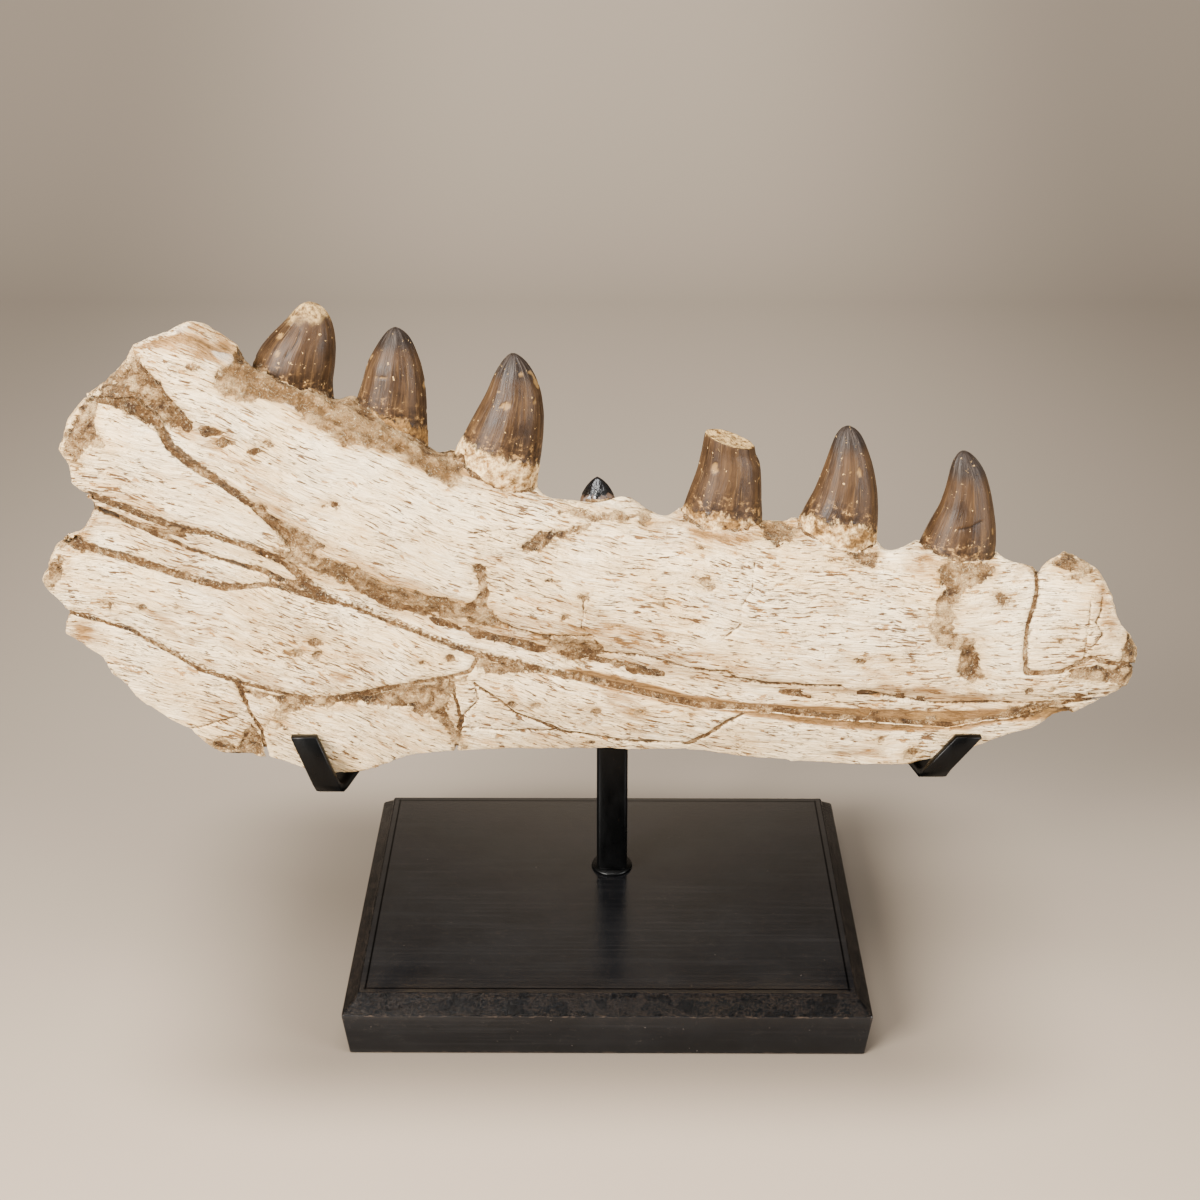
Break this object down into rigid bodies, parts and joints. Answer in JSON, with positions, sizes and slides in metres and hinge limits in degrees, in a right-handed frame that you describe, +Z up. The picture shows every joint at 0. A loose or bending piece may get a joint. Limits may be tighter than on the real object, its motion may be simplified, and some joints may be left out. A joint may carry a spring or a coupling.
{
  "type": "fossil mosasaur jaw",
  "caption": "Section of a fossil mosasaur lower jaw with its tooth row, held by two bent hooks on a square post over a black bevelled base",
  "frame": {"origin": "Middle of the base's underside, on the surface the stand stands on", "axes": "+X along the jaw towards its tapering front end, +Z up, -Y out of the jaw's outer side, towards the viewer"},
  "size_m": [0.4201, 0.1524, 0.279],
  "materials": {
    "bone": "dry cream mineralised bone with tan sediment in its cracks",
    "tooth_enamel": "brown enamel with grey tips, satin",
    "black_tooth_enamel": "glossy black enamel",
    "post_paint": "satin black paint on steel",
    "base_paint": "satin black paint on wood, worn at the edges"
  },
  "bodies": {
    "root": {"dentary": "bone", "dentary_rear": "bone", "dentary_tip": "bone", "splenial_strip": "bone", "splenial": "bone", "ventral_bar": "bone", "ventral_rear": "bone", "ventral_corner": "bone", "tooth_1": "tooth_enamel", "tooth_2": "tooth_enamel", "tooth_3": "tooth_enamel", "tooth_4": "black_tooth_enamel", "tooth_5": "tooth_enamel", "tooth_6": "tooth_enamel", "tooth_7": "tooth_enamel", "stand_base": "base_paint", "stand_collar": "post_paint", "stand_post": "post_paint", "stand_crossbar": "post_paint", "stand_hook_left": "post_paint", "stand_hook_right": "post_paint"}
  },
  "joints": []
}
